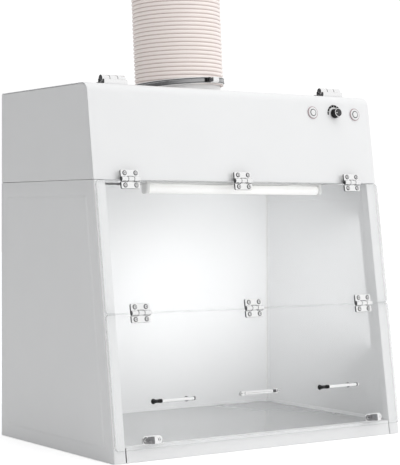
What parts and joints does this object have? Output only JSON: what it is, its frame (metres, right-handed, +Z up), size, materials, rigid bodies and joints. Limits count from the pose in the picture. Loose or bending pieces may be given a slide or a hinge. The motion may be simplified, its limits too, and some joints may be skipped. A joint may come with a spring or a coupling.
{
  "type": "fume hood",
  "caption": "Bench-top ducted fume hood: white double-walled cabinet, sloping clear bi-fold door, hinged fan housing cover, controls, lamp and a flexible exhaust hose.",
  "frame": {"origin": "underside of the base plate, midway between the sides and midway between the foot of the door and the back", "axes": "+X to the right of someone facing the door, +Y towards the back, +Z up"},
  "size_m": [0.603, 0.4167, 0.8459],
  "materials": {
    "powder_coat": "white satin powder coat on sheet steel",
    "liner": "white polypropylene liner board, satin",
    "worktop": "light grey glossy enamel on a dished steel tray",
    "clear_door": "clear cast acrylic, polished edges",
    "satin_chrome": "bright satin chrome on die-cast zinc",
    "stainless": "polished stainless steel",
    "galvanised": "plain galvanised or alloy casing",
    "hose_film": "translucent film over a coppery wire helix",
    "white_plastic": "moulded white plastic",
    "black_plastic": "moulded black plastic",
    "lamp_tube": "frosted lamp diffuser"
  },
  "bodies": {
    "cabinet": {"side_panel_left": "powder_coat", "side_panel_right": "powder_coat", "back_panel": "powder_coat", "base_plate": "powder_coat", "front_sill": "powder_coat", "housing_side_left": "powder_coat", "housing_side_right": "powder_coat", "top_panel": "powder_coat", "duct_collar": "powder_coat", "side_liner_left": "liner", "side_liner_right": "liner", "back_liner": "liner", "ceiling_plate": "liner", "base_tray": "worktop", "top_hinge_left_rear_leaf": "satin_chrome", "top_hinge_right_rear_leaf": "satin_chrome", "clamp_band": "stainless", "clamp_screw": "stainless", "fan_motor": "galvanised", "power_supply": "galvanised", "duct_hose": "hose_film", "intake_guard": "white_plastic", "lamp_batten": "white_plastic", "hose_cuff": "white_plastic", "fan_shell": "black_plastic", "power_inlet": "black_plastic", "lamp_tube": "lamp_tube"},
    "front_cover": {"front_cover": "powder_coat", "top_hinge_left_front_leaf": "satin_chrome", "top_hinge_right_front_leaf": "satin_chrome", "sash_hinge_left_packer": "white_plastic", "sash_hinge_centre_packer": "white_plastic", "sash_hinge_right_packer": "white_plastic", "sash_hinge_left_upper_leaf": "satin_chrome", "sash_hinge_centre_upper_leaf": "satin_chrome", "sash_hinge_right_upper_leaf": "satin_chrome", "light_switch_body": "satin_chrome", "fan_switch_body": "satin_chrome", "speed_control": "galvanised"},
    "speed_knob": {"speed_knob": "black_plastic"},
    "light_button": {"light_button": "stainless"},
    "fan_button": {"fan_button": "stainless"},
    "fan_rotor": {"fan_rotor": "black_plastic"},
    "upper_sash": {"upper_sash_panel": "clear_door", "sash_hinge_left_lower_leaf": "satin_chrome", "sash_hinge_centre_lower_leaf": "satin_chrome", "sash_hinge_right_lower_leaf": "satin_chrome", "fold_hinge_left_upper_leaf": "satin_chrome", "fold_hinge_centre_upper_leaf": "satin_chrome", "fold_hinge_right_upper_leaf": "satin_chrome"},
    "lower_sash": {"lower_sash_panel": "clear_door", "fold_hinge_left_lower_leaf": "satin_chrome", "fold_hinge_centre_lower_leaf": "satin_chrome", "fold_hinge_right_lower_leaf": "satin_chrome", "bow_handle_left": "satin_chrome", "bow_handle_right": "satin_chrome", "bar_pull": "satin_chrome", "corner_tab_left": "satin_chrome", "corner_tab_right": "satin_chrome"}
  },
  "joints": [
    {"name": "front_cover_hinge", "type": "hinge", "parent": "cabinet", "child": "front_cover", "pos_m": [0, -0.076, 0.6197], "axis": [-1, 0, 0], "range_deg": [0, 70]},
    {"name": "upper_sash_hinge", "type": "hinge", "parent": "front_cover", "child": "upper_sash", "pos_m": [0, -0.13883, 0.45175], "axis": [-1, 0, 0], "range_deg": [0, 90]},
    {"name": "lower_sash_fold", "type": "hinge", "parent": "upper_sash", "child": "lower_sash", "pos_m": [0, -0.17004, 0.23539], "axis": [-1, 0, 0], "range_deg": [0, 150]},
    {"name": "speed_knob_turn", "type": "hinge", "parent": "front_cover", "child": "speed_knob", "pos_m": [0.217, -0.11076, 0.57703], "axis": [0, 0.9898, -0.1428], "range_deg": [0, 270]},
    {"name": "light_button_press", "type": "slide", "parent": "front_cover", "child": "light_button", "axis": [0, 0.9898, -0.1428], "range_m": [0, 0.002], "stiffness_N_per_m": 1200, "springref_m": -0.0005},
    {"name": "fan_button_press", "type": "slide", "parent": "front_cover", "child": "fan_button", "axis": [0, 0.9898, -0.1428], "range_m": [0, 0.002], "stiffness_N_per_m": 1200, "springref_m": -0.0005},
    {"name": "fan_rotor_spin", "type": "hinge", "parent": "cabinet", "child": "fan_rotor", "pos_m": [0, 0.071, 0.484], "axis": [0, 0, 1], "continuous": true}
  ]
}
